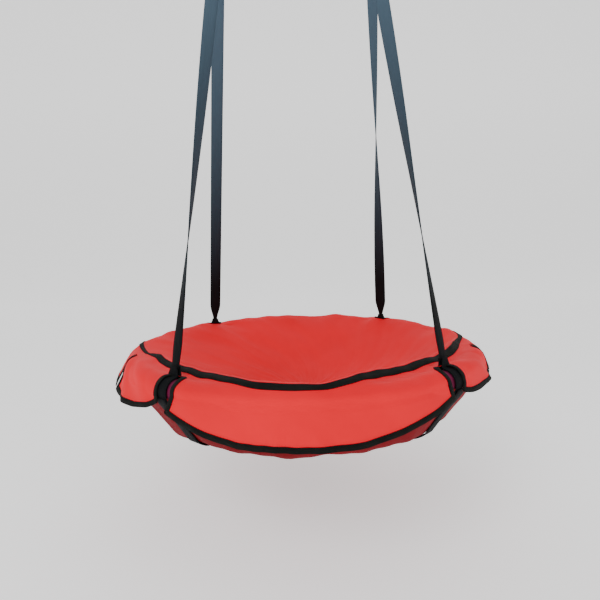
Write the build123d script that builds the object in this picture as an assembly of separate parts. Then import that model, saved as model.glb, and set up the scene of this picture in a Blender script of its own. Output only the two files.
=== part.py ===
from build123d import *
import math
import os

# Saucer nest swing: a padded steel hoop with a fabric seat, hung on two pairs of webbing straps.
# Origin: middle of the line through the two hanging points. +Z up, -Y is the front, +X the right.

os.makedirs("parts", exist_ok=True)

# ---- Driving dimensions (mm, degrees) ----
HANG_HALF = 220.0       # half the spacing of the two hanging points
SEAT_Z = -1373.0        # height of the hoop's plane
HOOP_R = 500.0          # centreline radius of the hoop
TUBE_R = 16.0           # outside radius of the steel tube
TUBE_WALL = 2.0
SPIGOT_R = 13.8
SPIGOT_WALL = 2.8
SPIGOT_ARC = 10.0       # angle that one spigot spans
JOINT_AZ = 22.5         # azimuth of the first tube joint, the others a quarter turn on
SCREW_R = 2.5
SCREW_LEN = 6.5
SCREW_ARC = 2.6         # angle from a tube joint to each of its two screws
FOAM_R = 33.0           # outside radius of the foam sleeve
FOAM_BORE_R = 16.2
ANCHOR_AZ = 48.5        # azimuth of the strap anchors, from the X axis

STRAP_W = 38.0          # webbing width
STRAP_T = 2.5           # webbing thickness
LOOP_GAP = 0.3
SLOT_T = 6.5            # mouth of a hoop loop, which lets the strap tail tilt
TAB_T = 11.5
PIVOT_UP = 58.0         # distance from the tube's centreline up the strap to where it flexes
TAB_ABOVE = 8.0         # the hoop loop's tab goes this far past that point
TAIL_BELOW = 5.0        # and the strap's tail goes this far below it

WIRE_R = 4.0            # carabiners and rings are bent from 8 mm bar
CARA_BEND_R = 13.0      # centreline radius of a carabiner's bends
CARA_PITCH = 74.0       # between the centrelines of its two bends' outermost points
RING_R = 24.0           # centreline radius of the ring
EYE_INNER_R = 4.4
EYE_OUTER_R = 6.9
EYE_ARC = 72.0          # part of the ring that the strap's eye wraps
STEM_LEN = 30.0         # sewn plies under the ring, down to where the two legs part
STEM_W = 30.0
STEM_T = 7.5
LEG_OFFSET = 2.1        # each leg's distance from the mid plane where they part

GATE_R = 3.5
GATE_PIVOT_Z = -45.0
GATE_TOP_Z = -14.6
GATE_PIN_R = 1.25
TONGUE_T = 3.0
NOSE_Z = -14.0

COVER_GAP_R = 36.0      # inside radius of the fabric over the foam
COVER_T = 2.0
BINDING_T = 1.2
BINDING_W = 16.0
SKIRT_FLARE = 16.0      # angle of the hanging flaps from vertical
DISH_START = 12.0       # slope of the fabric where it leaves the foam, going in
SEAM_R = 485.0          # seam circle between lining and flaps
SEAM_SHIFT = 45.0       # its centre sits this far behind the hoop's centre
HEM_LONG = -86.0        # lowest point of the front and rear hems, from the hoop's plane
HEM_SIDE = -46.0        # height of the side flaps' hems
HEM_RISE_R = 1090.0     # the front and rear hems rise to their corners on this radius
SLIT_HALF = 2.0         # half angle of the slits at the far left and far right
SLIT_AZ = 17.0          # the two side slits are this many degrees in front of the middle
OPENING_HALF = 3.5      # half angle of the gap between flaps at each strap
DISH_DEPTH = 125.0
PANEL_DEPTH = 165.0
PANEL_START = 8.0       # the bag leaves the flaps this far under the tube's widest point
PANEL_LEAVE = 35.0      # and leaves the foam here, on a slant
PANEL_FOOT_R = 443.0    # radius where the slanting wall meets the bottom's rounding
PANEL_FLAT_R = 405.0    # radius of the flat bottom
PANEL_HEEL_RISE = 18.0  # height of the bend between wall and rounding over the bottom
CROSS_START = 18.0      # the cross straps come out of the hoop loops this far round the tube
CROSS_GAP = 0.6

# ---- Derived values ----
CARA_TOP_Z = WIRE_R
CARA_LOW_Z = CARA_TOP_Z - CARA_PITCH
LOW_BEND_Z = CARA_LOW_Z + CARA_BEND_R
TOP_BEND_Z = CARA_TOP_Z - CARA_BEND_R
RING_TOP_Z = CARA_LOW_Z + 2 * WIRE_R + LOOP_GAP
RING_Z = RING_TOP_Z - RING_R
SPLIT_Z = RING_Z - RING_R - STEM_LEN
ANCHOR_X = HOOP_R * math.cos(math.radians(ANCHOR_AZ))
ANCHOR_Y = HOOP_R * math.sin(math.radians(ANCHOR_AZ))
COVER_R = COVER_GAP_R + COVER_T
SIDES = {"left": -1, "right": 1}
ENDS = {"front": -1, "rear": 1}

IN_LOOP = 0.018  # this part of a leg stands in its hoop loop, untwisted
# Twist of each strap on its way up: (part of the way, direction of its width in plan).
TWIST = {
    ("front", "left"): [(0, -41.5), (0.33, -90), (1, -180)],
    ("front", "right"): [(0, 41.5), (0.4, 90), (1, 180)],
    ("rear", "left"): [(0, 41.5), (IN_LOOP, 41.5), (0.07, 5), (1, 0)],
    ("rear", "right"): [(0, -41.5), (IN_LOOP, -41.5), (0.07, -5), (0.48, -90), (1, -180)],
}
STRAP_STEPS = 18

# Each flap of the cover and the azimuths that it spans.
FLAPS = {
    "front": (-180 + ANCHOR_AZ + OPENING_HALF, -ANCHOR_AZ - OPENING_HALF),
    "front_right": (-ANCHOR_AZ + OPENING_HALF, -SLIT_AZ - SLIT_HALF),
    "rear_right": (SLIT_HALF - SLIT_AZ, ANCHOR_AZ - OPENING_HALF),
    "rear": (ANCHOR_AZ + OPENING_HALF, 180 - ANCHOR_AZ - OPENING_HALF),
    "rear_left": (180 - ANCHOR_AZ + OPENING_HALF, 180 + SLIT_AZ - SLIT_HALF),
    "front_left": (180 + SLIT_AZ + SLIT_HALF, 180 + ANCHOR_AZ - OPENING_HALF),
}


def save(shape, name, colour):
    """Label one node and write its STEP file."""
    shape.label = name
    shape.color = Color(colour)
    export_step(shape, f"parts/{name}.step")


def anchor(side, end):
    """Point on the tube's centreline under one strap."""
    return Vector(SIDES[side] * ANCHOR_X, ENDS[end] * ANCHOR_Y, SEAT_Z)


def leg_top(side, end):
    """Where one leg leaves the sewn stem under the ring."""
    return Vector(SIDES[side] * HANG_HALF, ENDS[end] * LEG_OFFSET, SPLIT_Z)


def leg_up(side, end):
    """Unit vector up along one strap leg."""
    return (leg_top(side, end) - anchor(side, end)).normalized()


def width_direction(angle, along):
    """Direction at a plan angle, turned square to the strap's run."""
    flat = Vector(math.cos(math.radians(angle)), math.sin(math.radians(angle)), 0)
    return (flat - along * flat.dot(along)).normalized()


def ring_arc(outer, inner, start, end):
    """Part of a torus about the hoop's axis, hollow when inner is more than 0."""
    section = Circle(outer)
    if inner > 0:
        section -= Circle(inner)
    face = Plane.XZ * Pos(HOOP_R, 0) * section
    return Pos(0, 0, SEAT_Z) * Rot(0, 0, start) * revolve(face, Axis.Z, end - start)


def at_joint(azimuth):
    """Place something drawn under the tube at azimuth 0 at another azimuth."""
    return Pos(0, 0, SEAT_Z) * Rot(0, 0, azimuth) * Pos(HOOP_R, 0, 0)


# ---- Carabiners, rings and gates ----
def carabiner_body(side):
    """Oval hook in the YZ plane, open between its nose and the gate's pivot."""
    foot_z = GATE_PIVOT_Z - 5.0
    bend = CARA_BEND_R
    run = [
        Line((0, bend, foot_z), (0, bend, LOW_BEND_Z)),
        ThreePointArc((0, bend, LOW_BEND_Z), (0, 0, LOW_BEND_Z - bend), (0, -bend, LOW_BEND_Z)),
        Line((0, -bend, LOW_BEND_Z), (0, -bend, TOP_BEND_Z)),
        ThreePointArc((0, -bend, TOP_BEND_Z), (0, 0, TOP_BEND_Z + bend), (0, bend, TOP_BEND_Z)),
        Line((0, bend, TOP_BEND_Z), (0, bend, NOSE_Z)),
    ]
    path = Wire(run)
    body = sweep(Plane(origin=(0, bend, foot_z), z_dir=(0, 0, -1)) * Circle(WIRE_R), path=path)
    tongue = Pos(0, bend, (foot_z + GATE_PIVOT_Z) / 2) * Box(TONGUE_T, 5, 5)
    tongue += Pos(0, bend, GATE_PIVOT_Z) * Rot(0, 90, 0) * Cylinder(2.5, TONGUE_T)
    nose_slot = Pos(0, bend - 1.5, NOSE_Z + 2.4) * Box(2.8, 8, 4.9)
    pin_hole = Pos(0, bend, GATE_PIVOT_Z) * Rot(0, 90, 0) * Cylinder(GATE_PIN_R, 20)
    return Pos(SIDES[side] * HANG_HALF, 0, 0) * (body + tongue - nose_slot - pin_hole)


def carabiner_gate(side):
    """Round gate, forked over the body's tongue, with a small tongue for the nose slot."""
    height = GATE_TOP_Z - GATE_PIVOT_Z
    gate = Pos(0, 0, height / 2) * Cylinder(GATE_R, height)
    gate += Rot(0, 90, 0) * Cylinder(GATE_R, 2 * GATE_R - 1)
    gate -= Box(TONGUE_T + 0.4, 20, 9)
    gate += Pos(0, 0, height + 2) * Box(2.2, 4.4, 4)
    gate -= Rot(0, 90, 0) * Cylinder(GATE_PIN_R + 0.06, 20)
    return Pos(SIDES[side] * HANG_HALF, CARA_BEND_R, GATE_PIVOT_Z) * gate


def gate_pin(side):
    """Rivet through the gate's fork and the body's tongue."""
    pin = Rot(0, 90, 0) * Cylinder(GATE_PIN_R, 2 * GATE_R - 0.6)
    return Pos(SIDES[side] * HANG_HALF, CARA_BEND_R, GATE_PIVOT_Z) * pin


def ring(side):
    """Welded ring in the XZ plane, hanging in the carabiner's lower bend."""
    return Pos(SIDES[side] * HANG_HALF, 0, RING_Z) * Rot(90, 0, 0) * Torus(RING_R, WIRE_R)


# ---- Straps and hoop loops ----
def twist_at(schedule, part):
    """Plan angle of the webbing's width at one part of the way up."""
    for (low, start), (high, end) in zip(schedule, schedule[1:]):
        if part <= high:
            return start + (end - start) * (part - low) / (high - low)
    return schedule[-1][1]


def strap_leg(side, end):
    """Flat taut webbing from the hoop loop's mouth up to the stem, twisting as it goes."""
    up = leg_up(side, end)
    foot = anchor(side, end) + up * (PIVOT_UP - TAIL_BELOW)
    head = leg_top(side, end)
    sections = []
    for part in (0, IN_LOOP, *(step / STRAP_STEPS for step in range(1, STRAP_STEPS + 1))):
        width = STEM_W if part == 1 else STRAP_W
        across = width_direction(twist_at(TWIST[(end, side)], part), up)
        centre = foot + (head - foot) * part
        sections.append(Plane(origin=centre, x_dir=across, z_dir=up) * Rectangle(width, STRAP_T))
    return loft(sections, ruled=True)


def strap_eye(side):
    """Eye wrapped round the ring's lower arc, and the sewn plies under it."""
    section = Plane.YZ * Pos(0, -RING_R) * (Circle(EYE_OUTER_R) - Circle(EYE_INNER_R))
    eye = Rot(0, -EYE_ARC / 2, 0) * revolve(section, Axis.Y, EYE_ARC)
    stem = Pos(0, 0, -RING_R - STEM_LEN / 2 - 1) * Box(STEM_W, STEM_T, STEM_LEN - 2)
    clear = Rot(90, 0, 0) * Torus(RING_R, EYE_INNER_R)
    return Pos(SIDES[side] * HANG_HALF, 0, RING_Z) * (eye + (stem - clear))


def front_strap(side):
    """Front leg in one piece with the eye."""
    return strap_eye(side) + strap_leg(side, "front")


def rear_strap(side):
    """Rear leg, sewn to the foot of the eye's plies."""
    stem = Box(2 * STEM_W, 2 * STEM_T, STEM_LEN)
    place = Pos(SIDES[side] * HANG_HALF, 0, SPLIT_Z + STEM_LEN / 2)
    front_half = Pos(SIDES[side] * HANG_HALF, -STRAP_W, SPLIT_Z) * Box(80, 2 * STRAP_W, 60)
    return strap_leg(side, "rear") - place * stem - front_half


def hoop_loop(side, end):
    """Webbing sling round the foam, with a two-ply tab that takes the strap's tail."""
    azimuth = math.degrees(math.atan2(ENDS[end] * ANCHOR_Y, SIDES[side] * ANCHOR_X))
    half = math.degrees(STRAP_W / 2 / HOOP_R)
    inner = FOAM_R + LOOP_GAP
    sling = ring_arc(inner + STRAP_T, inner, azimuth - half, azimuth + half)
    up = leg_up(side, end)
    tangent = width_direction(azimuth + 90, up)
    tab_top = PIVOT_UP + TAB_ABOVE
    frame = Plane(origin=anchor(side, end), x_dir=tangent, z_dir=up)
    tab = frame * Pos(0, 0, (FOAM_R + tab_top) / 2) * Box(STRAP_W, TAB_T, tab_top - FOAM_R)
    slot_len = TAB_ABOVE + TAIL_BELOW + 2.0
    slot = frame * Pos(0, 0, tab_top - slot_len / 2) * Box(2 * STRAP_W, SLOT_T, slot_len)
    foam_space = ring_arc(inner, 0, azimuth - 10, azimuth + 10)
    return sling + (tab - slot - foam_space)


# ---- Hoop and foam ----
def screw_places():
    """Underside places of all hoop screws."""
    return [at_joint(JOINT_AZ + 90 * i + turn) for i in range(4) for turn in (-SCREW_ARC, SCREW_ARC)]


def screw_shape(radius):
    """One screw's shank, flush with the tube's underside."""
    return Pos(0, 0, -TUBE_R + SCREW_LEN / 2) * Cylinder(radius, SCREW_LEN)


def hoop_tube(index):
    """One bent quarter of the hoop."""
    start = JOINT_AZ + 90 * index
    tube = ring_arc(TUBE_R, TUBE_R - TUBE_WALL, start + 0.02, start + 89.98)
    for place in screw_places():
        tube -= place * screw_shape(SCREW_R + 0.1)
    return tube


def hoop_spigot(index):
    """Short inner tube that joins two quarters."""
    middle = JOINT_AZ + 90 * index
    arc = ring_arc(SPIGOT_R, SPIGOT_R - SPIGOT_WALL, middle - SPIGOT_ARC / 2, middle + SPIGOT_ARC / 2)
    for place in screw_places():
        arc -= place * screw_shape(SCREW_R + 0.1)
    return arc


def hoop_screws():
    """The eight screws of the four joints."""
    return Compound(children=[place * screw_shape(SCREW_R) for place in screw_places()])


def foam_sleeve(index):
    """One quarter of the foam on the hoop."""
    return ring_arc(FOAM_R, FOAM_BORE_R, 90 * index + 0.02, 90 * index + 89.98)


# ---- Cover ----
def cover_layer(inner, outer, start, end):
    """Skin between two offsets over the foam: hanging skirt, over the rim, and down into the dish."""
    flare = math.radians(SKIRT_FLARE)
    slope = math.radians(DISH_START)
    down = Vector(math.sin(flare), -math.cos(flare))
    skirt = 190.0
    faces = []
    for offset in (outer, inner):
        sunk = COVER_R - offset
        depth = -DISH_DEPTH - sunk
        low = Vector(HOOP_R + offset * math.cos(flare), offset * math.sin(flare))
        crown = (HOOP_R, offset)
        inward = Vector(HOOP_R - offset * math.sin(slope), offset * math.cos(slope))
        middle = Vector(300 + sunk * 0.4, -52 - sunk * 0.9)
        bend = Vector(432 + sunk * 0.2, 20 - sunk)
        faces.append((low + down * skirt, low, crown, inward, bend, middle, Vector(0, depth)))
    lines = []
    for hem, low, crown, inward, bend, middle, centre in faces:
        lines.append(Line(hem, low))
        lines.append(ThreePointArc(low, crown, inward))
        tangent = (-math.cos(slope), -math.sin(slope))
        lines.append(Spline(inward, bend, middle, centre, tangents=(tangent, (-1, 0))))
    lines.append(Line(faces[0][0], faces[1][0]))
    lines.append(Line(faces[0][6], faces[1][6]))
    face = Plane.XZ * make_face(lines)
    return Pos(0, 0, SEAT_Z) * Rot(0, 0, start) * revolve(face, Axis.Z, end - start)


def seam_cylinder(radius):
    """Upright cylinder through the seam circle."""
    return Pos(0, SEAM_SHIFT, SEAT_Z) * Cylinder(radius, 900)


def above_hem(name, lift=0.0):
    """Space over one flap's hem, which is level at the sides and arched at the front and rear."""
    if name in ENDS:
        middle = SEAT_Z + HEM_LONG + lift + HEM_RISE_R
        return Pos(0, 0, middle) * Rot(90, 0, 0) * Cylinder(HEM_RISE_R, 1600)
    return Pos(0, 0, SEAT_Z + HEM_SIDE + lift + 250) * Box(1600, 1600, 500)


def strap_openings():
    """Gaps in the fabric round the four hoop loops."""
    gaps = []
    for end in ENDS:
        for side in SIDES:
            azimuth = math.degrees(math.atan2(ENDS[end] * ANCHOR_Y, SIDES[side] * ANCHOR_X))
            box = Pos(HOOP_R - 45 + 150, 0, 40) * Box(300, 60, 200)
            gaps.append(Pos(0, 0, SEAT_Z) * Rot(0, 0, azimuth) * box)
    return gaps


def wedge(start, end):
    """Sector of space between two azimuths."""
    face = Plane.XZ * Pos(400, 0) * Rectangle(780, 800)
    return Pos(0, 0, SEAT_Z) * Rot(0, 0, start) * revolve(face, Axis.Z, end - start)


def seat_lining():
    """Dish of the seat, inside the seam."""
    lining = cover_layer(COVER_GAP_R, COVER_R, 0, 360) & seam_cylinder(SEAM_R)
    for gap in strap_openings():
        lining -= gap
    return largest(lining)


def flap(name):
    """One flap, from the seam over the rim to its hem."""
    start, end = FLAPS[name]
    skin = cover_layer(COVER_GAP_R, COVER_R, start, end)
    skin -= seam_cylinder(SEAM_R + 0.1)
    return largest(skin & above_hem(name))


def flap_binding(name):
    """Tape on the sides and hem of one flap."""
    start, end = FLAPS[name]
    turn = math.degrees(BINDING_W / HOOP_R)
    tape = cover_layer(COVER_R + 0.05, COVER_R + BINDING_T, start, end) & above_hem(name)
    tape -= seam_cylinder(SEAM_R + BINDING_W / 2 + 0.5)
    middle = wedge(start + turn, end - turn) & above_hem(name, BINDING_W)
    return largest(tape - middle)


def seam_binding():
    """Tape over the seam between lining and flaps."""
    tape = cover_layer(COVER_R + 0.05, COVER_R + BINDING_T, 0, 360)
    tape = tape & seam_cylinder(SEAM_R + BINDING_W / 2)
    return largest(tape - seam_cylinder(SEAM_R - BINDING_W / 2))


def largest(shape):
    """The biggest solid of a cut shape, without trimmings."""
    return max(shape.solids(), key=lambda solid: solid.volume)


def panel_side(offset):
    """Section of the bag's wall and bottom at one offset from the tube's centreline."""
    sunk = COVER_R - offset
    high = tube_point(offset, -PANEL_START)
    low = tube_point(offset, -PANEL_LEAVE)
    heel = (PANEL_FOOT_R - 0.6 * sunk, -PANEL_DEPTH + PANEL_HEEL_RISE + 0.8 * sunk)
    toe = (PANEL_FLAT_R, -PANEL_DEPTH + sunk)
    arc = ThreePointArc(high, tube_point(offset, -(PANEL_START + PANEL_LEAVE) / 2), low)
    return high, (0, -PANEL_DEPTH + sunk), [arc, Polyline(low, heel, toe, (0, toe[1]))]


def tube_point(offset, turn):
    """Point at one angle round the tube, in the section plane, 0 pointing away from the seat."""
    return (
        HOOP_R + offset * math.cos(math.radians(turn)),
        offset * math.sin(math.radians(turn)),
    )


def under_panel():
    """Bag under the dish, from the outside of the foam down its slanting wall to a flat bottom."""
    out_top, out_mid, outer = panel_side(COVER_R)
    in_top, in_mid, inner = panel_side(COVER_GAP_R)
    face = Plane.XZ * make_face([*outer, *inner, Line(out_top, in_top), Line(out_mid, in_mid)])
    return Pos(0, 0, SEAT_Z) * revolve(face, Axis.Z, 360)


def cross_strap(azimuth, drop):
    """Webbing on the outside of the bag, from one hoop loop across to the opposite one."""
    near = COVER_R + CROSS_GAP
    low = -PANEL_DEPTH - CROSS_GAP - drop
    heel = (PANEL_FOOT_R + 0.5, -PANEL_DEPTH + PANEL_HEEL_RISE - 0.7)
    half = [tube_point(near, -CROSS_START), tube_point(near, -PANEL_LEAVE), heel]
    half += [(PANEL_FLAT_R, low), (0, low)]
    top = half + [(-r, z) for r, z in reversed(half[:-1])]
    under = [(s + math.copysign(0.8 * STRAP_T, s), z - 0.6 * STRAP_T) for s, z in half[:3]]
    under += [(s, z - STRAP_T) for s, z in half[3:]]
    under += [(-s, z) for s, z in reversed(under[:-1])]
    face = Plane.XZ * make_face(Polyline(*top, *reversed(under), close=True))
    strap = extrude(face, STRAP_W / 2, both=True)
    return Pos(0, 0, SEAT_Z) * Rot(0, 0, azimuth) * strap


def cross_patch():
    """Square patch sewn under the crossing."""
    top = -PANEL_DEPTH - CROSS_GAP - 2 * STRAP_T - 0.7
    return Pos(0, 0, SEAT_Z + top - 1) * Box(90, 90, 1.6)


# ---- Write every node ----
for side in SIDES:
    save(carabiner_body(side), f"carabiner_body_{side}", "#b8bcc0")
    save(carabiner_gate(side), f"carabiner_gate_{side}", "#a0a6ac")
    save(gate_pin(side), f"gate_pin_{side}", "#808890")
    save(ring(side), f"hanging_ring_{side}", "#c8ccd0")
    save(front_strap(side), f"strap_front_{side}", "#3a4450")
    save(rear_strap(side), f"strap_rear_{side}", "#303a46")
    for end in ENDS:
        save(hoop_loop(side, end), f"hoop_loop_{end}_{side}", "#202428")

for index in range(4):
    save(hoop_tube(index), f"hoop_tube_{index + 1}", "#8c9298")
    save(hoop_spigot(index), f"hoop_spigot_{index + 1}", "#70767c")
    save(foam_sleeve(index), f"foam_sleeve_{index + 1}", "#7a1f48")
save(hoop_screws(), "hoop_screws", "#50555a")

save(seat_lining(), "seat_lining", "#e8322c")
save(seam_binding(), "seam_binding", "#181a1c")
for name in FLAPS:
    save(flap(name), f"flap_{name}", "#ef3a34")
    save(flap_binding(name), f"binding_{name}", "#141618")
save(under_panel(), "under_panel", "#96101a")
save(cross_strap(ANCHOR_AZ, 0), "cross_strap_a", "#22262a")
save(cross_strap(-ANCHOR_AZ, STRAP_T + 0.5), "cross_strap_b", "#22262a")
save(cross_patch(), "cross_patch", "#1a1c1e")
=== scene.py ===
# %% [markdown]
# # Saucer nest swing
# A padded steel hoop one metre across carries a red fabric dish with a skirt of six flaps.
# Four flat webbing straps rise from the hoop in twisted runs to two rings and two snap hooks.
# The hard parts come from the CAD frame. Every soft part is shaped here on top of it.

# %% Start on the fixed frame
import math

import bpy
import numpy as np
from mathutils import Matrix, Vector


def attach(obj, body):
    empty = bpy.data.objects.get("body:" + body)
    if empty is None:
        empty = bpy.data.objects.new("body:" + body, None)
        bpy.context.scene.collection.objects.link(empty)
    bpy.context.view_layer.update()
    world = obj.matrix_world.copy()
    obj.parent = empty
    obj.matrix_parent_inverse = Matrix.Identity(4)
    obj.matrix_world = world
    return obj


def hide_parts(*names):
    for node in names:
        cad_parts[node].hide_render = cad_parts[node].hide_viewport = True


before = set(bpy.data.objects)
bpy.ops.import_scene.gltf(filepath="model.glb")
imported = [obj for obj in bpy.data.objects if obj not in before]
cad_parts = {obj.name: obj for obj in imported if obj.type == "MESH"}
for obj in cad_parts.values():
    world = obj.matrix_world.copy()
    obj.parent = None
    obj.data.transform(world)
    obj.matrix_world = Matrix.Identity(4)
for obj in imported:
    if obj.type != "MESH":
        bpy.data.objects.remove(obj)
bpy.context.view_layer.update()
HOOP_Z = -1.373       # height of the tube's centreline, with the hanging line at 0
HOOP_R = 0.5
print("frame loaded:", len(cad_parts), "nodes")

# %% [markdown]
# ## Small mesh helpers
# Soft parts are grids: rows and columns of points joined by quads. A grid can close on itself.
# Texture space is kept in metres of cloth, so a weave has the same pitch on every piece.


# %% Grids of cloth
def grid_faces(rows, cols, close_rows=False, close_cols=False):
    faces = []
    for i in range(rows if close_rows else rows - 1):
        for j in range(cols if close_cols else cols - 1):
            k, m = (i + 1) % rows, (j + 1) % cols
            faces.append((i * cols + j, i * cols + m, k * cols + m, k * cols + j))
    return faces


def make_mesh(name, points, faces, cloth=None, material=None):
    mesh = bpy.data.meshes.new(name)
    mesh.from_pydata(np.asarray(points, float).reshape(-1, 3).tolist(), [], faces)
    mesh.update()
    if cloth is not None:
        layer = mesh.uv_layers.new(name="cloth")
        flat = np.asarray(cloth, float).reshape(-1, 2)
        corner = np.empty(len(mesh.loops), int)
        mesh.loops.foreach_get("vertex_index", corner)
        layer.data.foreach_set("uv", flat[corner].ravel())
    mesh.polygons.foreach_set("use_smooth", [True] * len(mesh.polygons))
    piece = bpy.data.objects.new(name, mesh)
    bpy.context.scene.collection.objects.link(piece)
    if material:
        mesh.materials.append(material)
    return piece


def thicken(piece, thickness, side=-1.0):
    solid = piece.modifiers.new("thickness", "SOLIDIFY")
    solid.thickness = thickness
    solid.offset = side
    return piece


# %% [markdown]
# ## Materials
# The cover is a coated nylon: a fine plain weave, an almost even red, a soft sheen on folds.
# The bag below is a more open weave, and its dark red is painted shade of the underside. Bindings and
# straps are ribbed woven tape.
# The steel is zinc plated where it shows and powder coated inside the foam.


# %% Shared shader parts
class Shader:
    """A short way to wire nodes of one material."""

    def __init__(self, name, rough, metal=0.0):
        self.material = bpy.data.materials.new(name)
        self.material.use_nodes = True
        self.tree = self.material.node_tree
        self.skin = self.tree.nodes["Principled BSDF"]
        self.skin.inputs["Roughness"].default_value = rough
        self.skin.inputs["Metallic"].default_value = metal
        self.skin.inputs["Specular IOR Level"].default_value = 0.5 if metal else 0.15
        self.place = self.tree.nodes.new("ShaderNodeTexCoord")
        self.bumps = None

    def node(self, kind, **values):
        made = self.tree.nodes.new(kind)
        for key, value in values.items():
            key = key.replace("_", " ")
            if key in made.inputs:
                made.inputs[key].default_value = value
            else:
                setattr(made, key.replace(" ", "_"), value)
        return made

    def link(self, source, target):
        self.tree.links.new(source, target)

    def noise(self, scale, detail=3.0, space="Object"):
        made = self.node("ShaderNodeTexNoise", Scale=scale, Detail=detail)
        self.link(self.place.outputs[space], made.inputs["Vector"])
        return made.outputs["Fac"]

    def ribs(self, scale, direction="X", space="UV"):
        made = self.node("ShaderNodeTexWave", Scale=scale, bands_direction=direction)
        self.link(self.place.outputs[space], made.inputs["Vector"])
        return made.outputs["Fac"]

    def blend_colours(self, fac, low, high, start=0.3, end=0.7):
        ramp = self.node("ShaderNodeValToRGB")
        ramp.color_ramp.elements[0].position = start
        ramp.color_ramp.elements[1].position = end
        ramp.color_ramp.elements[0].color = (*low, 1)
        ramp.color_ramp.elements[1].color = (*high, 1)
        self.link(fac, ramp.inputs["Fac"])
        return ramp.outputs["Color"]

    def colour(self, source):
        self.link(source, self.skin.inputs["Base Color"])

    def bump(self, height, strength, depth):
        made = self.node("ShaderNodeBump", Strength=strength, Distance=depth)
        self.link(height, made.inputs["Height"])
        if self.bumps:
            self.link(self.bumps, made.inputs["Normal"])
        self.bumps = made.outputs["Normal"]
        self.link(self.bumps, self.skin.inputs["Normal"])


print("shader helper ready")

# %% [markdown]
# Each cloth blends two near colours by a slow noise and carries two crossed sets of ribs for its
# weave. The nylon gets small creases as well. The tapes are coarser along than across.


# %% Cloth materials
def nylon(name, low, high, weave, rough):
    made = Shader(name, rough)
    made.colour(made.blend_colours(made.noise(3.2, 4.0), low, high))
    made.bump(made.ribs(weave, "X"), 0.25, 0.0002)
    made.bump(made.ribs(weave, "Y"), 0.25, 0.0002)
    made.bump(made.noise(26.0, 4.0), 0.18, 0.004)
    return made.material


def tape_cloth(name, low, high, weave, rough=0.85):
    made = Shader(name, rough)
    made.colour(made.blend_colours(made.noise(30.0), low, high))
    made.bump(made.ribs(weave, "Y"), 0.5, 0.0005)
    made.bump(made.ribs(weave * 0.6, "X"), 0.25, 0.0003)
    return made.material


red = nylon("red coated nylon", (0.86, 0.002, 0.014), (0.98, 0.004, 0.020), 260.0, 0.65)
# the bag cloth's dark red is painted shade: the underside hangs in shadow below the seat
painted_shade_bag_red = nylon("bag cloth red with painted shade", (0.15, 0.0010, 0.004), (0.23, 0.0018, 0.007), 150.0, 0.8)
binding_cloth = tape_cloth("black binding tape", (0.003, 0.0035, 0.003), (0.008, 0.009, 0.007), 160.0)
thread = tape_cloth("dark thread", (0.012, 0.012, 0.011), (0.02, 0.02, 0.018), 300.0)
print("cloth materials ready")

# %% [markdown]
# ## Webbing that pales with height
# The straps are black near the seat and read slate blue-grey higher up, where sky light
# falls on them. The colour follows the height of the piece itself, with ribs across it.


# %% Webbing, foam and metal materials
def webbing_cloth():
    made = Shader("ribbed strap webbing", 0.85)
    height = made.node("ShaderNodeSeparateXYZ")
    made.link(made.place.outputs["Object"], height.inputs["Vector"])
    span = made.node("ShaderNodeMapRange")
    span.inputs["From Min"].default_value = -1.3
    span.inputs["From Max"].default_value = -0.15
    made.link(height.outputs["Z"], span.inputs["Value"])
    made.colour(made.blend_colours(span.outputs["Result"], (0.004, 0.005, 0.006),
                                   (0.075, 0.12, 0.165), 0.1, 0.95))
    made.bump(made.ribs(170.0, "Y"), 0.6, 0.0006)
    made.bump(made.ribs(60.0, "X"), 0.3, 0.0004)
    return made.material


def skin_foam():
    made = Shader("purple foam", 0.7)
    made.colour(made.blend_colours(made.noise(40.0), (0.10, 0.004, 0.03), (0.17, 0.008, 0.05)))
    made.bump(made.noise(420.0, 2.0), 0.4, 0.0006)
    return made.material


def plated(name, low, high, rough, metal):
    made = Shader(name, rough, metal=metal)
    made.colour(made.blend_colours(made.noise(60.0), low, high))
    made.bump(made.noise(300.0), 0.08, 0.0003)
    return made.material


webbing = webbing_cloth()
foam = skin_foam()
zinc = plated("zinc plated steel", (0.50, 0.52, 0.55), (0.66, 0.68, 0.70), 0.3, 1.0)
powder = plated("grey powder coat", (0.22, 0.23, 0.25), (0.28, 0.29, 0.31), 0.5, 0.1)
STEEL_NODES = {"carabiner": zinc, "gate_pin": zinc, "hanging_ring": zinc, "hoop_screws": zinc,
               "hoop_tube": powder, "hoop_spigot": powder}
for node_name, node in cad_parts.items():
    for start, finish in STEEL_NODES.items():
        if node_name.startswith(start):
            node.data.materials.clear()
            node.data.materials.append(finish)
print("materials ready")

# %% [markdown]
# ## The cover as one smooth surface
# The cover is a dish that rolls over the foam and falls as a skirt. One curve, swept round the
# seat, gives that shape. A place on it has a plan angle and a distance along the cloth, 0 on top
# of the rim, plus towards the middle and minus down the skirt.

# %% Profile of the cover
COVER_R = 0.0372      # from the tube's centreline to the cloth, over the foam
FLARE = math.radians(13)
INWARD = math.radians(12)
DISH_DEPTH = 0.125
SKIRT_LINE = 0.2      # more skirt than any flap uses
arc = np.linspace(FLARE, math.pi / 2 + INWARD, 60)[:-1]
arc_r, arc_z = HOOP_R + COVER_R * np.cos(arc), COVER_R * np.sin(arc)
rim_r = HOOP_R - COVER_R * math.sin(INWARD)
rim_z = COVER_R * math.cos(INWARD)
dish_r = np.linspace(rim_r, 0, 300)
share = dish_r / rim_r
rise = 0.344 * share**2 + 2.663 * share**3 - 2.007 * share**4
dish_z = (rim_z + DISH_DEPTH) * rise - DISH_DEPTH
profile_r = np.concatenate([[arc_r[0] + SKIRT_LINE * math.sin(FLARE)], arc_r, dish_r])
profile_z = np.concatenate([[arc_z[0] - SKIRT_LINE * math.cos(FLARE)], arc_z, dish_z])
run = np.concatenate([[0], np.cumsum(np.hypot(np.diff(profile_r), np.diff(profile_z)))])
PAST_SIDE = 40        # from this point on, the cloth only goes inwards
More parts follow.
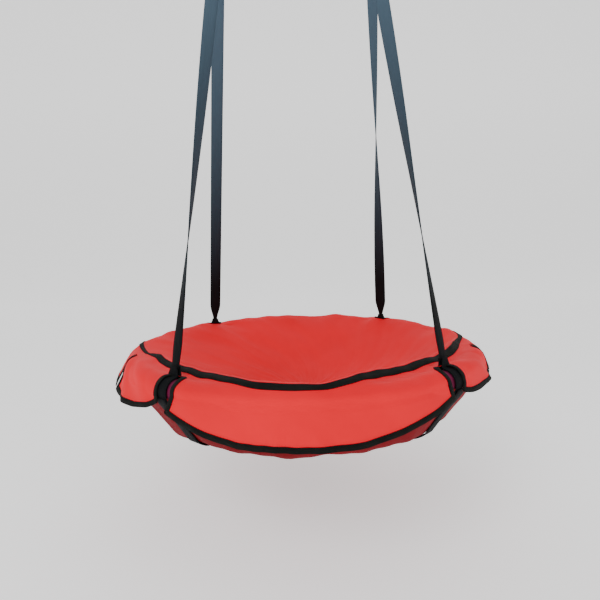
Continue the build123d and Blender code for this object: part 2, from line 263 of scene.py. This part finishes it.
run -= np.interp(-HOOP_R, -profile_r[PAST_SIDE:], run[PAST_SIDE:])
print("cloth from rim to middle:", round(float(run[-1]), 3), "m")

# %% [markdown]
# The profile also has a direction out of the cloth, found from two points close by. Folds and
# layers are set off along it.


# %% Place and direction on the profile
def profile(t):
    r, z = np.interp(t, run, profile_r), np.interp(t, run, profile_z)
    ahead, behind = t + 0.002, t - 0.002
    slope_r = np.interp(ahead, run, profile_r) - np.interp(behind, run, profile_r)
    slope_z = np.interp(ahead, run, profile_z) - np.interp(behind, run, profile_z)
    long = np.hypot(slope_r, slope_z)
    return r, z, slope_z / long, -slope_r / long


# %% [markdown]
# ## Angles round the seat
# Plan angles are in degrees from the right-hand side, so the front is at -90. Most shapes here
# fade in and out with an angle or a distance, which the easing curve does without a kink.

# %% Angles and easing
FRONT = -90.0
STRAP_AZ = 48.5
ANCHORS = (-180 + STRAP_AZ, -STRAP_AZ, STRAP_AZ, 180 - STRAP_AZ)


def turn_between(az, other):
    return (np.asarray(az) - other + 180.0) % 360.0 - 180.0


def ease(value, low, high):
    part = np.clip((value - low) / (high - low), 0, 1)
    return part * part * (3 - 2 * part)


def bell(value, middle, width, power=2):
    return np.exp(-((value - middle) / width) ** power)


print("straps at", ANCHORS, "degrees")

# %% [markdown]
# ## Where the seam runs
# The flaps are sewn to the lining along a taped seam. It sits on top of the rim at the very front,
# swings inside the rim on either side of it, then crosses over at the left and right and runs
# on the outer side at the back. It was sewn on a little turned from the front.

# %% Seam line
SEAM_MIDDLE = -96.0


def smooth_line(az, centre, turns, values):
    total = 0
    for nudge in (-4.0, -2.0, 0.0, 2.0, 4.0):
        total = total + np.interp(np.abs(turn_between(az + nudge, centre)), turns, values)
    return total / 5


def seam_t(az):
    az = np.asarray(az, float)
    later = 13.0 * ease(turn_between(az, FRONT), 55, 80) * ease(-turn_between(az, 90), 40, 80)
    turns = [0, 8, 15, 22, 30, 40, 60, 68, 76, 84, 94, 110, 180]
    along = [-12, -10, 4, 28, 44, 50, 49, 34, 12, -10, -35, -46, -50]
    return smooth_line(az - later, SEAM_MIDDLE, turns, along) / 1000.0


print("seam at the front:", round(float(seam_t(FRONT)) * 1000, 1), "mm from the top of the rim")

# %% [markdown]
# ## Folds
# Nothing is pulled quite even. Broad waves run round the rim, small tents stand on it at the
# back, the side flaps ripple, and folds fan out from each strap. Sine waves at unlike angles,
# faded in and out by place, give those folds the same every time.


# %% Waves, tents, ripples and fans
def waves(az, t):
    a = np.radians(az)
    height = 0.0022 * np.sin(7 * a + 1.3 + 9 * t) * np.sin(36 * t + 0.8)
    height = height + 0.0016 * np.sin(13 * a - 0.6 + 25 * t)
    return height + 0.0012 * np.sin(31 * a + 60 * t + 2.0) * np.sin(11 * a)


def towards_back(az):
    return ease(np.abs(turn_between(az, FRONT)), 85, 110)


def tents(az, t):
    a = np.radians(az)
    peaks = np.abs(np.sin(5.5 * a + 0.9)) ** 5 + 0.7 * np.abs(np.sin(8.5 * a + 0.2)) ** 7
    return 0.0060 * towards_back(az) * peaks * bell(t, 0.02, 0.07)


def side_ripples(az, t):
    sides = bell(np.abs(turn_between(az, FRONT)), 62, 13.0)
    return 0.0034 * sides * np.sin(26 * np.radians(az) + 55 * t) * ease(-t, 0.0, 0.03)


def strap_fans(az, t):
    inside = np.clip(t, 0, 1)
    most = (0.002 + 0.0055 * towards_back(az)) * ease(t, 0.0, 0.03) * np.exp(-inside / 0.1)
    offs = [turn_between(az, anchor) for anchor in ANCHORS]
    return most * sum(bell(off, 0, 11.0) * np.cos(off * 0.55 / (1 + 9 * inside)) for off in offs)


# %% [markdown]
# The straps lift the cloth just behind the seam, so the seam's tape leans towards the front. A
# crease follows the foam's outer shoulder, and the front hem puckers where the tape was sewn on.

# %% Ridge at the seam, front crease and hem
PULL_UP = 0.024


def seam_ridge(az, t):
    side = turn_between(az, SEAM_MIDDLE)
    off = np.abs(side)
    most = np.where(side < 0, PULL_UP, PULL_UP + 0.006)
    fade = np.where(side < 0, ease(off, 58, 74), ease(off, 72, 96))
    pull = (0.009 + (most - 0.009) * ease(off, 4, 26)) * (1 - fade)
    return pull * bell(t, seam_t(az) + 0.016, 0.020)


def front_crease(az, t):
    shoulder = bell(t, -0.036, 0.010) - bell(t, -0.053, 0.007)
    return 0.0020 * shoulder * bell(turn_between(az, FRONT), 0, 45.0, 4)


def hem_puckers(az, t):
    a = np.radians(az)
    near = ease(-t, 0.085, 0.14) * bell(turn_between(az, FRONT), 0, 22.0)
    return 0.0026 * near * np.sin(58 * a + 4 * np.sin(7 * a))


# %% [markdown]
# All of these add up, but the cloth can't sink into the foam or into a hoop loop, so over the
# rim there is a lowest height. Below it the side flaps stand off a little more than the others.


# %% A point on the cover
def folds(az, t):
    height = waves(az, t) + tents(az, t) + side_ripples(az, t) + strap_fans(az, t)
    height = height + seam_ridge(az, t) + front_crease(az, t) + hem_puckers(az, t)
    over_loop = sum(bell(turn_between(az, anchor), 0, 4.0, 4) for anchor in ANCHORS)
    lowest = 0.0014 * over_loop - 0.0016
    lowest = lowest - 0.05 * ease(-t, 0.06, 0.10) - 0.05 * ease(t, 0.02, 0.05)
    return np.maximum(height, lowest) * ease(0.56 - t, 0.0, 0.12)


def flare_more(az, t):
    side = bell(turn_between(az, 0), 0, 30) + bell(turn_between(az, 180), 0, 30)
    return 0.30 * side * np.clip(-t - 0.045, 0, 1)


def cover_point(az, t, lift=0.0):
    az, t = np.broadcast_arrays(np.asarray(az, float), np.asarray(t, float))
    r, z, out_r, out_z = profile(t)
    high = folds(az, t) + lift
    r = r + out_r * high + flare_more(az, t)
    z = z + out_z * high
    a = np.radians(az)
    return np.stack([r * np.cos(a), r * np.sin(a), z + HOOP_Z], -1)


print("front of the rim at", cover_point(FRONT, 0.0).round(3))

# %% [markdown]
# ## Where the hems run
# The front flap is the longest and is cut in an arch. The side flaps are shorter, and the left one
# hangs a little lower than the right. Heights are in millimetres from the tube's centreline.


# %% Hem lines
def hem_z(az, front_flap):
    az = np.asarray(az, float)
    if front_flap:
        off = np.abs(turn_between(az, FRONT - 3))
        return np.interp(off, [0, 10, 14, 23, 34.5, 45], [-84, -82, -80, -66, -39, -17]) / 1000.0
    off = np.abs(turn_between(az, FRONT))
    left = np.interp(off, [41, 46, 53, 60, 68, 78, 90], [-18, -35, -48, -53, -53, -42, -34])
    right = np.interp(off, [38, 42, 46, 52, 60, 90], [-10, -19, -26, -31, -35, -34])
    side = np.where(turn_between(az, FRONT) < 0, left, right)
    back = np.interp(off, [90, 100, 128, 139, 150, 180], [-30, -36, -46, -40, -52, -56])
    return np.where(off > 90, back, side) / 1000.0


def hem_t(az, front_flap=False):
    corner = COVER_R * (math.pi / 2 - FLARE)
    below = COVER_R * math.sin(FLARE) - hem_z(az, front_flap)
    return -corner - below / math.cos(FLARE)


print("front hem:", round(float(-hem_t(FRONT, True)), 3), "m down the cloth from the rim")

# %% [markdown]
# ## Openings for the straps
# Each strap enters through an arched opening: a slit between two flaps, wide over the webbing
# and closed above it. At the back the seam runs lower than the strap, so the arch is cut into
# the lining instead. The same two rules shape cloth, tape and stitches.

# %% Gap rules
ARCH_TOP = 0.012
ARCH_RISE = 0.030
GAP = 2.8             # half of an opening, in degrees round the seat
SLIT_AZ = 17.0        # the two side slits are this far in front of the middle
SLIT_TOP = 0.010      # and they open this far down the outside


def opening_gap(t):
    bend = np.clip((t - (ARCH_TOP - ARCH_RISE)) / ARCH_RISE, 0, 1)
    arch = GAP * np.sqrt(1 - bend**2)
    close = 1 - 0.5 * ease(-t, 0.05, 0.10)
    return np.maximum(arch * close, 0.12)


def slit_gap(t):
    return 0.06 + 0.5 * ease(-t, SLIT_TOP, SLIT_TOP + 0.006) + 0.6 * ease(-t, 0.03, 0.10)


def lining_edge(az):
    edge = seam_t(az)
    for anchor in (STRAP_AZ, 180 - STRAP_AZ):
        off = np.abs(turn_between(az, anchor)) / GAP
        edge = edge + (ARCH_TOP - edge) * np.sqrt(np.clip(1 - off**6, 0, 1))
    return edge


print("a strap's opening is", round(2 * math.radians(GAP) * HOOP_R * 1000), "mm wide")

# %% [markdown]
# ## Tape that follows an edge
# A binding is a tape folded over the raw edge. It is drawn as a closed thin tube whose section
# goes over the cloth, round the edge and back under. Its line is given on the cloth, and the
# two sides are set off from it by real distance. A row of stitches holds it near its inner side.


# %% Tapes and stitches on the cover
def set_off(az, t, distance):
    scale = np.radians(1.0) * profile(t)[0]
    step_a, step_t = np.gradient(az) * scale, np.gradient(t)
    long = np.hypot(step_a, step_t) + 1e-12
    return az - step_t / long * distance / scale, t + step_a / long * distance


def even_line(az, t, pitch):
    step = np.hypot(np.diff(az) * np.radians(1.0) * HOOP_R, np.diff(t))
    along = np.concatenate([[0], np.cumsum(step)])
    count = max(int(along[-1] / pitch), 4)
    want = np.linspace(0, along[-1], count)
    return np.interp(want, along, az), np.interp(want, along, t), want


def tape(name, az, t, inner, outer, pitch=0.004, lift=0.0004):
    az, t, along = even_line(az, t, pitch)
    section = [(inner, 0.0004), (inner, 0.0012), (outer, 0.0013), (outer, -0.0012),
               (inner, -0.0014), (inner, -0.0009)]
    columns, cloth = [], []
    for distance, rise in section:
        side_az, side_t = set_off(az, t, distance)
        columns.append(cover_point(side_az, side_t, lift + rise))
        cloth.append(np.stack([np.full_like(along, distance), along], -1))
    points, cloth = np.stack(columns, 1), np.stack(cloth, 1)
    faces = grid_faces(len(az), len(section), close_cols=True)
    return make_mesh(name, points, faces, cloth, binding_cloth)


def stitch_row(name, rows, pitch=0.0052, long=0.0034, thick=0.0006, lift=0.0020):
    points, faces = [], []
    for az, t, distance in rows:
        az, t, _ = even_line(az, t, pitch)
        az, t = set_off(az, t, distance)
        middle = cover_point(az, t, lift)
        above = cover_point(az, t, lift + 0.001)
        for i in range(1, len(az) - 1):
            ahead = middle[i + 1] - middle[i - 1]
            ahead = ahead / np.linalg.norm(ahead)
            up = (above[i] - middle[i]) / np.linalg.norm(above[i] - middle[i])
            across = np.cross(ahead, up)
            base = len(points)
            for e, s in ((-1, -1), (-1, 1), (1, 1), (1, -1)):
                points.append(middle[i] + ahead * e * long / 2 + across * s * thick / 2 - up * thick)
            for e, s in ((-0.6, -0.6), (-0.6, 0.6), (0.6, 0.6), (0.6, -0.6)):
                points.append(middle[i] + ahead * e * long / 2 + across * s * thick / 2)
            faces += [tuple(base + k for k in quad) for quad in
                      ((4, 5, 6, 7), (0, 1, 5, 4), (1, 2, 6, 5), (2, 3, 7, 6), (3, 0, 4, 7))]
    return make_mesh(name, points, faces, None, thread)


print("tape and stitch helpers ready")

# %% [markdown]
# ## The lining
# One round of nylon makes the whole dish. It is drawn from its taped edge to the middle,
# with extra columns beside the two rear openings so that their arches are clean.

# %% Lining of the dish
close_az = np.arange(-4.2, 4.21, 0.2)
lining_az = np.unique(np.round(np.concatenate(
    [np.arange(-180, 180, 1.5), STRAP_AZ + close_az, 180 - STRAP_AZ + close_az]), 2))
lining_share = np.linspace(0, 1, 110)[:, None] ** 1.15
lining_start = lining_edge(lining_az)[None, :] - 0.004
lining_t = lining_start + (run[-1] - 0.006 - lining_start) * lining_share
lining_angle = np.broadcast_to(lining_az[None, :], lining_t.shape)
points = cover_point(lining_angle, lining_t, -0.0006)
centre = cover_point(0.0, run[-1], -0.0006)[None, :]
faces = grid_faces(*lining_t.shape, close_cols=True)
last = (lining_t.shape[0] - 1) * lining_t.shape[1]
faces += [(last + j, last + (j + 1) % lining_t.shape[1], lining_t.size)
          for j in range(lining_t.shape[1])]
lining = make_mesh("lining_cloth", np.concatenate([points.reshape(-1, 3), centre]), faces,
                   np.concatenate([points.reshape(-1, 3), centre])[:, :2], red)
thicken(lining, 0.0009)
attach(lining, "seat")
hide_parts("seat_lining")

# %% [markdown]
# ## Six flaps and their bindings
# The skirt is cut at the four straps and at the far left and right. Each flap runs from the seam
# down over the foam to its own hem, with the tape folded round its free edges.

# %% Flaps
FRONT_SHIFT = 1.5     # the two front openings are cut this many degrees nearer the front
FLAPS = {
    "front": (-180 + STRAP_AZ + FRONT_SHIFT, -STRAP_AZ - FRONT_SHIFT, True, True),
    "front_right": (-STRAP_AZ - FRONT_SHIFT, -SLIT_AZ, True, False),
    "rear_right": (-SLIT_AZ, STRAP_AZ, False, True),
    "rear": (STRAP_AZ, 180 - STRAP_AZ, True, True),
    "rear_left": (180 - STRAP_AZ, 180 + SLIT_AZ, True, False),
    "front_left": (180 + SLIT_AZ, 180 + STRAP_AZ + FRONT_SHIFT, False, True),
}


def flap_grid(first, last, open_first, open_last, front):
    cols = int((last - first) * 2.2)
    u = np.linspace(0, 1, cols)[None, :]
    v = np.linspace(0, 1, 64)[:, None]
    az = first + (last - first) * u
    low, high = hem_t(az, front), seam_t(az) + 0.003
    t = low + (high - low) * v
    gap_first = opening_gap(t) if open_first else slit_gap(t)
    gap_last = opening_gap(t) if open_last else slit_gap(t)
    az = az + gap_first * np.clip(1 - (az - first) / 9.0, 0, 1) ** 2
    az = az - gap_last * np.clip(1 - (last - az) / 9.0, 0, 1) ** 2
    return az, t


stitch_lines = []
for name, (first, last, open_first, open_last) in FLAPS.items():
    az, t = flap_grid(first, last, open_first, open_last, name == "front")
    cloth = np.stack([np.radians(az) * HOOP_R, t], -1)
    flap = make_mesh(f"flap_cloth_{name}", cover_point(az, t), grid_faces(*az.shape), cloth, red)
    thicken(flap, 0.0009)
    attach(flap, "seat")
    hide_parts(f"flap_{name}")
    width = math.radians(last - first) * (HOOP_R + 0.04)
    left = t[:, 0] < (ARCH_TOP - 0.001 if open_first else -SLIT_TOP)
    right = t[:, -1] < (ARCH_TOP - 0.001 if open_last else -SLIT_TOP)
    edge_az = np.concatenate([az[left, 0][::-1], az[0, 1:-1], az[right, -1]])
    edge_t = np.concatenate([t[left, 0][::-1], t[0, 1:-1], t[right, -1]])
    binding = tape(f"binding_tape_{name}", edge_az, edge_t, 0.012, -0.001)
    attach(binding, "seat")
    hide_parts(f"binding_{name}")
    stitch_lines.append((edge_az, edge_t, 0.0095))

# %% [markdown]
# ## Seam tape and stitching
# One tape covers the seam all the way round and is sewn along both of its edges. The bindings
# have one row of stitches each. All the stitches together are one mesh of short raised bars.

# %% Seam tape and all stitches
seam_az = np.unique(np.round(np.concatenate(
    [np.arange(-180, 180.01, 0.75), STRAP_AZ + close_az, 180 - STRAP_AZ + close_az]), 2))
seam_line = lining_edge(seam_az)
seam = tape("seam_tape", seam_az, seam_line, 0.0065, -0.0065, lift=0.0010)
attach(seam, "seat")
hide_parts("seam_binding")
stitch_lines += [(seam_az, seam_line, 0.0045), (seam_az, seam_line, -0.0045)]
stitches = stitch_row("cover_stitches", stitch_lines)
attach(stitches, "seat")
print("stitches:", len(stitches.data.polygons) // 5)

# %% [markdown]
# ## Foam
# Four purple foam sleeves meet end to end round the tube. They are soft, slightly uneven and
# pressed in a little where the hoop loops go round them. Each is a thick closed tube.


# %% Foam sleeves
FOAM_R = 0.033


def tube_grid(first, last, radius_at, cols=30, step=2.0):
    az = np.linspace(first, last, int((last - first) / step) + 1)[:, None]
    turn = np.linspace(2 * math.pi, 0, cols, endpoint=False)[None, :]
    radius = radius_at(az, turn)
    r, z = HOOP_R + radius * np.cos(turn), radius * np.sin(turn)
    a = np.radians(az)
    points = np.stack([r * np.cos(a), r * np.sin(a), z + HOOP_Z + 0 * a], -1)
    cloth = np.stack([np.broadcast_to(turn * radius, r.shape), np.broadcast_to(a * HOOP_R, r.shape)], -1)
    return points, cloth


def foam_radius(az, turn):
    radius = FOAM_R + 0.0005 * np.sin(np.radians(az) * 23) * np.cos(turn * 3) + 0 * turn
    for anchor in ANCHORS:
        off = turn_between(az, anchor)
        radius = radius - 0.0022 * np.exp(-(off / 2.9) ** 6)
    return radius


for index in range(4):
    points, cloth = tube_grid(90 * index + 0.15, 90 * index + 89.85, foam_radius, step=1.0)
    faces = grid_faces(points.shape[0], points.shape[1], close_cols=True)
    sleeve = make_mesh(f"foam_{index + 1}", points, faces, cloth, foam)
    thicken(sleeve, 0.008)
    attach(sleeve, "seat")
    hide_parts(f"foam_sleeve_{index + 1}")
print("foam sleeves:", 2 * FOAM_R, "m across")

# %% [markdown]
# ## The bag below
# A separate cloth closes the seat from below; its dark red is painted shade. It leaves the foam on a
# slant and ends in a flat bottom, loose enough to ripple a little. One profile is turned round the
# middle.

# %% Bag under the dish
BAG_R = [0.0, 0.20, 0.385, 0.418, 0.443, 0.488, 0.529, 0.5335, 0.5342]
BAG_Z = [-0.165, -0.164, -0.163, -0.159, -0.145, -0.079, -0.0195, -0.010, -0.003]
bag_run = np.concatenate([[0], np.cumsum(np.hypot(np.diff(BAG_R), np.diff(BAG_Z)))])


def bag_point(az, s, lift=0.0):
    r = sum(np.interp(s + d, bag_run, BAG_R) for d in (-0.006, 0.0, 0.006)) / 3
    z = sum(np.interp(s + d, bag_run, BAG_Z) for d in (-0.006, 0.0, 0.006)) / 3
    down = np.clip((s - 0.40) / 0.04, 0, 1)
    out_r, out_z = 0.82 * down, -np.sqrt(1 - (0.82 * down) ** 2)
    a = np.radians(az)
    free = ease(bag_run[-1] - s, 0.02, 0.08) * ease(s, 0.05, 0.3)
    wave = 0.0022 * np.sin(17 * a + 12 * s) + 0.0018 * np.sin(9 * a + 1.0 - 20 * s)
    wave = wave + 0.0012 * np.sin(43 * a + 30 * s) * ease(s, 0.35, 0.45)
    r = r + out_r * (wave * free + lift)
    z = z + out_z * (wave * free + lift)
    return np.stack([r * np.cos(a), r * np.sin(a), z + HOOP_Z], -1)


bag_az = np.arange(-180, 180, 1.5)[None, :]
bag_s = np.linspace(0.004, bag_run[-1], 90)[:, None]
points = bag_point(*np.broadcast_arrays(bag_az, bag_s)).reshape(-1, 3)
points = np.concatenate([points, [[0, 0, BAG_Z[0] + HOOP_Z]]])
faces = grid_faces(90, bag_az.size, close_cols=True)
faces += [((j + 1) % bag_az.size, j, 90 * bag_az.size) for j in range(bag_az.size)]
# this cloth's dark red is painted shade of the underside
bag = make_mesh("bag_cloth", points, faces, points[:, :2], painted_shade_bag_red)
thicken(bag, 0.001)
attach(bag, "seat")
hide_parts("under_panel")

# %% [markdown]
# ## Webbing
# A strap is a flat ribbon with slightly rounded edges. It is swept along a line of points, with
# a direction for its width at each. Every leg has been given its own number of half turns.


# %% Ribbon along a line
WEB_W = 0.038
WEB_T = 0.0025


def unit(vectors):
    return vectors / np.linalg.norm(vectors, axis=-1, keepdims=True)


def ribbon(name, line, across, width, material, thick=WEB_T):
    line = np.asarray(line, float)
    ahead = unit(np.gradient(line, axis=0))
    across = np.broadcast_to(np.asarray(across, float), line.shape)
    across = unit(across - ahead * np.sum(across * ahead, -1, keepdims=True))
    out = np.cross(ahead, across)
    width = np.broadcast_to(np.asarray(width, float), (len(line),))
    half, flat = 0.5, 0.5
    section = [(-half, 0.0), (-0.48, flat), (-0.16, flat), (0.16, flat), (0.48, flat),
               (half, 0.0), (0.48, -flat), (0.16, -flat), (-0.16, -flat), (-0.48, -flat)]
    along = np.concatenate([[0], np.cumsum(np.linalg.norm(np.diff(line, axis=0), axis=1))])
    points = np.stack([line + across * (w * width)[:, None] + out * h * thick
                       for w, h in section], 1)
    cloth = np.stack([np.stack([w * width, along], -1) for w, h in section], 1)
    rows, cols = len(line), len(section)
    faces = grid_faces(rows, cols, close_cols=True)
    faces += [tuple(range(cols))[::-1], tuple(range((rows - 1) * cols, rows * cols))]
    return make_mesh(name, points, faces, cloth, material)


print("webbing:", WEB_W * 1000, "x", WEB_T * 1000, "mm")

# %% [markdown]
# ## Four strap legs
# Each leg starts inside a loop on the hoop and ends sewn under its ring. The half turns take the
# ribbon edge on where the light shows it as a thin line. At the back the foot is gathered small.

# %% Strap legs
HANG_HALF = 0.22
RING_Z = -0.0857
LEG_TOP_Z = -0.1397
LEG_OFFSET = 0.0021
TURNS = {
    ("front", "left"): ([0, 0.33, 1], [-41.5, -90, -180]),
    ("front", "right"): ([0, 0.4, 1], [41.5, 90, 180]),
    ("rear", "left"): ([0, 0.06, 1], [41.5, 5, 0]),
    ("rear", "right"): ([0, 0.06, 0.48, 1], [-41.5, -5, -90, -180]),
}
leg_ends = {}


def leg_line(end, side):
    x = -1 if side == "left" else 1
    y = -1 if end == "front" else 1
    a = math.radians(STRAP_AZ)
    foot = np.array([x * HOOP_R * math.cos(a), y * HOOP_R * math.sin(a), HOOP_Z])
    top = np.array([x * HANG_HALF, y * LEG_OFFSET, LEG_TOP_Z])
    up = unit(top - foot)
    return foot, top, up


def horizontal(angle):
    a = np.radians(angle)
    return np.stack([np.cos(a), np.sin(a), 0 * a], -1)


for (end, side), (heights, angles) in TURNS.items():
    foot, top, up = leg_line(end, side)
    start = foot + up * 0.053
    part = np.linspace(0, 1, 240)
    line = start + (top - start) * part[:, None]
    angle = sum(np.interp(part + d, heights, angles) for d in (-0.03, 0.0, 0.03)) / 3
    gather = 0.62 if end == "rear" else 0.28
    width = WEB_W * (1 - gather * (1 - ease(part, 0.0, 0.055)) - 0.22 * ease(part, 0.965, 1.0))
    leg = ribbon(f"strap_{end}_{side}_leg", line, horizontal(angle), width, webbing)
    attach(leg, f"{side}_straps")
    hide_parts(f"strap_{end}_{side}")
    leg_ends[end, side] = (foot, up)

# %% [markdown]
# ## Bar tacks
# The eye of a strap is closed by four rows of bar tacks on both faces. A tack zigzags, so every
# second stitch of a row is drawn a little lower.


# %% Bar tacks
def tack_row(x, face_y, height):
    points, faces = [], []
    for k in range(9):
        at_x, at_z = x - 0.0115 + 0.0029 * k, height + 0.0006 * (-1) ** k
        for grow, half_x, half_z in ((1.0, 0.0012, 0.0004), (1.1, 0.001, 0.0003)):
            for dx, dz in ((-1, -1), (1, -1), (1, 1), (-1, 1)):
                points.append((at_x + dx * half_x, face_y * grow, at_z + dz * half_z))
        faces += [tuple(8 * k + i for i in quad) for quad in
                  ((4, 5, 6, 7), (0, 1, 5, 4), (1, 2, 6, 5), (2, 3, 7, 6), (3, 0, 4, 7))]
    return points, faces


def bar_tacks(side, x):
    tacks, tack_faces = [], []
    for row in range(4):
        for face_y in (-0.0044, 0.0044):
            points, faces = tack_row(x, face_y, LEG_TOP_Z + 0.002 + 0.0045 * row)
            tack_faces += [tuple(len(tacks) + i for i in quad) for quad in faces]
            tacks += points
    tack = make_mesh(f"strap_tacks_{side}", tacks, tack_faces, None, thread)
    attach(tack, f"{side}_straps")
    print("tack stitches", side, len(tack_faces) // 5)


# %% [markdown]
# ## Eyes round the rings
# The front strap of each side is folded over its ring and sewn back on itself. The ring bends
# the eye a little, so the fold follows the curve of the wire.

# %% Eyes
RING_R = 0.024
WIRE_Z = RING_Z - RING_R
FOLD_R = 0.00565
for side, x in (("left", -HANG_HALF), ("right", HANG_HALF)):
    bend = np.linspace(-0.35, math.pi + 0.35, 40)
    y = np.concatenate([np.linspace(-0.0026, -0.0034, 12), -FOLD_R * np.cos(bend),
                        np.linspace(0.0034, 0.0026, 12)])
    z = np.concatenate([np.linspace(LEG_TOP_Z - 0.004, WIRE_Z - 0.009, 12),
                        WIRE_Z + FOLD_R * np.sin(bend),
                        np.linspace(WIRE_Z - 0.009, LEG_TOP_Z - 0.004, 12)])
    w = np.linspace(-0.015, 0.015, 13)[None, :]
    low = (RING_Z - z)[:, None]
    curved = 1 - ease(low, 0.030, 0.040)
    angle = w / RING_R
    px = x + w * (1 - curved) + low * np.sin(angle) * curved
    pz = RING_Z - low * (1 - curved) - low * np.cos(angle) * curved
    py = np.broadcast_to(y[:, None], px.shape)
    run_y = np.concatenate([[0], np.cumsum(np.hypot(np.diff(y), np.diff(z)))])
    cloth = np.stack([np.broadcast_to(w, px.shape), np.broadcast_to(run_y[:, None], px.shape)], -1)
    points = np.stack([px, py, pz], -1)
    eye = make_mesh(f"strap_eye_{side}", points, grid_faces(*px.shape), cloth, webbing)
    thicken(eye, 0.0022, 0.0)
    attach(eye, f"{side}_straps")
    print("eye", side, "takes", round(float(run_y[-1]) * 1000), "mm of webbing")
    bar_tacks(side, x)

# %% [markdown]
# ## Loops on the hoop
# A band of webbing goes round the foam and stands up through each opening as two plies. The
# strap's foot sits between them. The band presses the foam in a little where it passes.

# %% Hoop loops
PLY_APART = 0.0050    # from the middle of the strap's foot to each ply
for (end, side), (foot, up) in leg_ends.items():
    x = -1 if side == "left" else 1
    y = -1 if end == "front" else 1
    tangent = np.array([-y * math.sin(math.radians(STRAP_AZ)), x * math.cos(math.radians(STRAP_AZ)), 0])
    out = unit(np.cross(tangent, up))
    out = out if out @ np.array([x, y, 0]) > 0 else -out
    gather = 0.5 if end == "rear" else 0.35
    rise = np.linspace(0.060, 0.036, 10)
    bend = np.linspace(math.radians(68), math.radians(68) - 2 * math.pi + math.radians(44), 60)
    outer = [foot + up * h + out * PLY_APART for h in rise]
    around = [foot + out * 0.0343 * math.cos(b) + up * 0.0343 * math.sin(b) for b in bend]
    inner = [foot + up * h - out * PLY_APART for h in rise[::-1]]
    line = np.array(outer + around + inner)
    high = np.clip((line - foot) @ up, 0, 1)
    width = WEB_W * (1 - gather * ease(high, 0.034, 0.058))
    loop = ribbon(f"loop_{end}_{side}", line, tangent, width, webbing)
    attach(loop, "seat")
    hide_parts(f"hoop_loop_{end}_{side}")
print("hoop loops:", len(leg_ends))

# %% [markdown]
# ## Cross straps under the bag
# Two webbing straps run under the bag from loop to loop and cross in the middle, where a square
# patch is sewn over them. They carry the load if the cloth should tear.

# %% Cross straps
for name, azimuth, drop in (("a", STRAP_AZ, 0.0014), ("b", -STRAP_AZ, 0.0042)):
    s = np.linspace(bag_run[-1] - 0.002, 0.0, 120)
    half = bag_point(np.full_like(s, azimuth), s, drop + 0.0012)
    other = bag_point(np.full_like(s, azimuth + 180), s[::-1], drop + 0.0012)[1:]
    line = np.concatenate([half, other])
    strap = ribbon(f"cross_web_{name}", line, horizontal(azimuth + 90.0), WEB_W, webbing)
    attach(strap, "seat")
    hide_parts(f"cross_strap_{name}")
    reach = np.linalg.norm(np.diff(line, axis=0), axis=1).sum()
    print("cross strap", name, round(float(reach), 3), "m")

# %% [markdown]
# The patch is a plain square of tape cloth with a slight quilting from the stitches under it.

# %% Patch
grid = np.linspace(-0.045, 0.045, 20)
px, py = np.meshgrid(grid, grid)
pz = HOOP_Z - 0.1735 + 0.0004 * np.sin(px * 90) * np.sin(py * 80)
patch = make_mesh("cross_patch_cloth", np.stack([px, py, pz], -1), grid_faces(20, 20),
                  np.stack([px, py], -1), binding_cloth)
thicken(patch, 0.0012, 0.0)
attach(patch, "seat")
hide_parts("cross_patch")
print("patch:", round(float(np.ptp(grid)) * 1000), "mm square")

# %% [markdown]
# ## Studio
# A pale sweep runs under and behind the swing, like a roll of paper curved up a wall. It gives a
# little light of its own, so it stays nearly white without a lamp aimed at it.

# %% Sweep
sweep_y = np.concatenate([np.linspace(-8, 5, 8), 5 + 4 * np.sin(np.linspace(0.1, math.pi / 2, 12)),
                          np.full(5, 9.0)])
sweep_z = np.concatenate([np.zeros(8), 4 - 4 * np.cos(np.linspace(0.1, math.pi / 2, 12)),
                          np.linspace(5, 12, 5)]) + HOOP_Z - 0.45
sweep_x = np.linspace(-14, 14, 8)
points = [(x, y, z) for y, z in zip(sweep_y, sweep_z) for x in sweep_x]
paper = Shader("white paper", 0.9)
paper.skin.inputs["Base Color"].default_value = (0.95, 0.95, 0.95, 1)
paper.skin.inputs["Emission Color"].default_value = (1, 1, 1, 1)
paper.skin.inputs["Emission Strength"].default_value = 0.55
floor = make_mesh("floor", points, grid_faces(len(sweep_y), 8), None, paper.material)
print("sweep", round(float(np.ptp(sweep_y))), "m deep")

# %% [markdown]
# Large soft lights keep the red bright and nearly even, with a little more from the front left.


# %% Lights
def softbox(name, place, aim, size, watts):
    data = bpy.data.lights.new(name, "AREA")
    data.shape = "DISK"
    data.size = size
    data.energy = watts
    lamp = bpy.data.objects.new(name, data)
    lamp.location = place
    lamp.rotation_euler = (Vector(aim) - Vector(place)).to_track_quat("-Z", "Y").to_euler()
    bpy.context.scene.collection.objects.link(lamp)
    print("light", name, watts, "W")


world = bpy.data.worlds.new("studio")
world.use_nodes = True
world.node_tree.nodes["Background"].inputs["Color"].default_value = (1, 1, 1, 1)
world.node_tree.nodes["Background"].inputs["Strength"].default_value = 0.62
bpy.context.scene.world = world
softbox("key", (-1.6, -2.6, 0.9), (0, 0, HOOP_Z), 1.8, 50)
softbox("fill", (2.4, -2.0, 0.2), (0, 0, HOOP_Z), 2.2, 16)

# %% [markdown]
# The camera stands about as far away as the swing is tall and looks slightly down from the front.

# %% Camera
camera_data = bpy.data.cameras.new("camera")
camera_data.lens = 28.3
camera_data.sensor_width = 36
camera = bpy.data.objects.new("camera", camera_data)
look = (Matrix.Rotation(math.radians(-2.42), 4, "Z") @ Matrix.Rotation(math.radians(83.05), 4, "X")
        @ Matrix.Rotation(math.radians(-1.2), 4, "Z"))
camera.matrix_world = Matrix.Translation((-0.0705, -1.478, -1.027)) @ look
bpy.context.scene.collection.objects.link(camera)
bpy.context.scene.camera = camera
print("camera lens", camera_data.lens, "mm")
